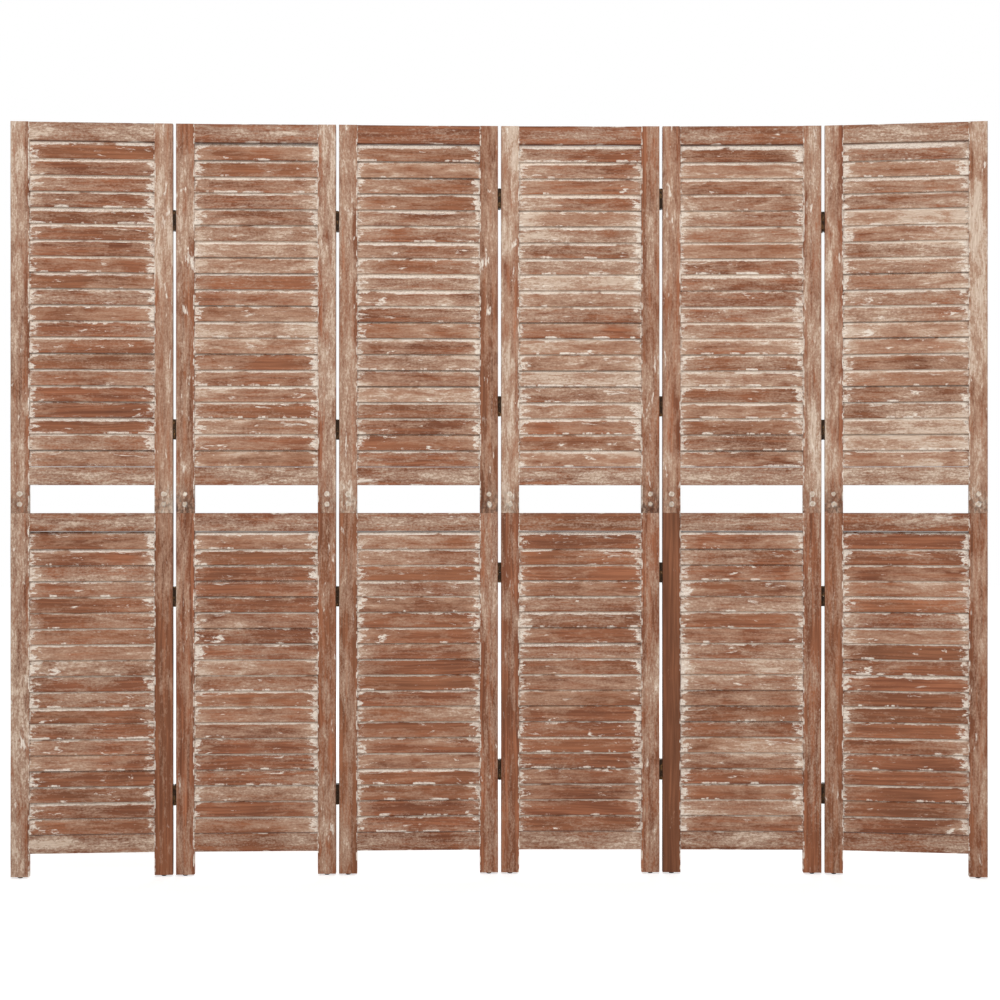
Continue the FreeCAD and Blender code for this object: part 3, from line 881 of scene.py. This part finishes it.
def wear_edges(verts, place, half_width, half_depth):
    """Rubs back the long edges of a board by an uneven amount."""
    to_board = place.inverted()
    for vert in verts:
        point = to_board @ vert.co
        near_side = half_width - abs(point.y) < ARRIS_REACH
        near_face = half_depth - abs(point.z) < ARRIS_REACH
        if near_side and near_face:
            side = math.copysign(SIDE_LAYER, point.y) + vert.co.x * PANEL_WAVES
            pattern = Vector((point.x * BOARD_WAVES, side, math.copysign(FACE_LAYER, point.z)))
            wear = EDGE_WEAR * max(0.0, WEAR_LEVEL + noise.noise(pattern))
            point.y -= math.copysign(wear, point.y)
            point.z -= math.copysign(wear, point.z)
            vert.co = place @ point


def board_set(node, index, kind, boards, half_depth, direction, low, high):
    """Copy of a node's boards, each with its own finish and worn edges."""
    form = board_copy(node)
    panel = panel_place(index)
    to_panel = panel.inverted()
    cut_across(form, panel, direction, low, high)
    for belongs, board_place, finish in boards:
        place = panel @ board_place
        verts = [v for v in form.verts if belongs(to_panel @ v.co)]
        mark(form, verts, place.inverted(), finish)
        wear_edges(verts, place, STILE_WIDTH / 2, half_depth)
    new_piece(f"{node}_worn", form, node, f"panel_{index}", kind)


def stile_set(index, level, shares):
    """Both stiles of one frame of a panel."""
    node = f"panel_{index}_{level}_stiles"
    low, high = (corner.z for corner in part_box(node))
    middle = (low + high) / 2
    boards = []
    for side, (haze, tone) in zip((-1, 1), shares):
        aside = side * (PANEL_WIDTH - STILE_WIDTH) / 2
        place = Matrix.Translation((aside, 0, middle)) @ axes(Z, -side * X, -Y)
        finish = Vector((rng.uniform(0, SEED_RANGE), haze, tone))
        boards.append((lambda p, side=side: p.x * side > 0, place, finish))
    board_set(node, index, "stiles", boards, THICKNESS / 2, Z, low, high)


def rail_set(index):
    """The four rails of a panel, from the lowest, each with the same long edge towards the slats."""
    node = f"panel_{index}_rails"
    low, high = (corner.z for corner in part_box(node))
    lower_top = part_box(f"panel_{index}_lower_slats")[1].z
    upper_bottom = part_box(f"panel_{index}_upper_slats")[0].z
    half = RAIL_HEIGHT / 2
    heights = (low + half, lower_top + half, upper_bottom - half, high - half)
    slat_sides = (1, -1, 1, -1)
    boards = []
    for height, haze, tone, side in zip(heights, RAIL_SHARES[index - 1], RAIL_TONES, slat_sides):
        seed = rng.uniform(0, SEED_RANGE)
        finish = Vector((seed, haze, tone + rng.uniform(-SHARE_PLAY, SHARE_PLAY)))
        place = Matrix.Translation((0, 0, height)) @ axes(side * X, side * Z, -Y)
        boards.append((lambda p, height=height: abs(p.z - height) < RAIL_HEIGHT, place, finish))
    board_set(node, index, "rails", boards, THICKNESS / 2 - ARRIS, X, -OPENING_HALF, OPENING_HALF)


for index in range(1, PANEL_COUNT + 1):
    stile_set(index, "upper", UPPER_STILE_SHARES[index - 1])
    stile_set(index, "lower", LOWER_STILE_SHARES[index - 1])
    rail_set(index)
    slat_rows(index, "upper", UPPER_SLATS, SLAT_SHARES[index - 1][0])
    slat_rows(index, "lower", LOWER_SLATS, SLAT_SHARES[index - 1][1])

for name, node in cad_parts.items():
    for kind in ("leaves", "links", "screws", "glides"):
        if name.endswith(kind):
            node.data.materials.clear()
            node.data.materials.append(finishes[kind])


# Stage

def seen_share(graph):
    """1 where the camera, a reflection or a clear surface looks at something, 0 where it only lights."""
    paths = graph.node("ShaderNodeLightPath").outputs
    return graph.most(paths["Is Camera Ray"], paths["Is Glossy Ray"], paths["Is Transmission Ray"])


def floor_material():
    """Pale floor that meets the white background without an edge and keeps the shadow near the feet."""
    material, graph, shader = new_material("pale floor")
    graph.put(shader.inputs["Base Color"], (FLOOR_SHARE, FLOOR_SHARE, FLOOR_SHARE, 1.0))
    graph.put(shader.inputs["Roughness"], 0.9)
    graph.put(shader.inputs["Emission Color"], WHITE)
    measure = graph.node("ShaderNodeVectorMath", {0: graph.screen_place()}, operation="LENGTH")
    glow = graph.fade(measure.outputs["Value"], NEAR_REACH, FAR_REACH, NEAR_GLOW, FAR_GLOW)
    graph.put(shader.inputs["Emission Strength"], graph.times(seen_share(graph), glow))
    return material


def add_floor():
    """Round floor under the feet."""
    form = bmesh.new()
    bmesh.ops.create_circle(form, cap_ends=True, radius=FLOOR_RADIUS, segments=FLOOR_SIDES)
    mesh = bpy.data.meshes.new("floor")
    form.to_mesh(mesh)
    form.free()
    mesh.materials.append(floor_material())
    floor = bpy.data.objects.new("floor", mesh)
    bpy.context.scene.collection.objects.link(floor)


def add_lamp(name, place, target, size, power):
    """Soft rectangular lamp turned towards a point."""
    data = bpy.data.lights.new(name, "AREA")
    data.shape = "RECTANGLE"
    data.size, data.size_y = size
    data.energy = power
    lamp = bpy.data.objects.new(name, data)
    direction = Vector(target) - Vector(place)
    turn = direction.to_track_quat("-Z", "Y").to_matrix().to_4x4()
    lamp.matrix_world = Matrix.Translation(place) @ turn
    bpy.context.scene.collection.objects.link(lamp)


def add_world():
    """Even pale surroundings, seen as white."""
    world = bpy.data.worlds.new("studio")
    bpy.context.scene.world = world
    world.use_nodes = True
    world.node_tree.nodes.clear()
    graph = Graph(world.node_tree)
    strength = graph.span(seen_share(graph), 0.0, 1.0, low=WORLD_LIGHT)
    background = graph.node("ShaderNodeBackground", {"Color": WHITE, "Strength": strength})
    graph.node("ShaderNodeOutputWorld", {"Surface": background.outputs["Background"]})


def add_camera():
    """Camera in front of the screen, at its distance from the mean line of the panels."""
    data = bpy.data.cameras.new("camera")
    data.lens = LENS
    data.sensor_width = SENSOR
    camera = bpy.data.objects.new("camera", data)
    depths = [panel_place(index).translation.y for index in range(1, PANEL_COUNT + 1)]
    mean_depth = sum(depths) / PANEL_COUNT
    place = Matrix.Translation((CAMERA_SIDE, mean_depth - CAMERA_DISTANCE, CAMERA_HEIGHT))
    camera.matrix_world = place @ Matrix.Rotation(math.pi / 2, 4, "X")
    bpy.context.scene.collection.objects.link(camera)
    bpy.context.scene.camera = camera


add_floor()
add_world()
add_camera()
for name, lamp in LAMPS.items():
    add_lamp(name, *lamp)
bpy.context.scene.view_settings.view_transform = "Standard"
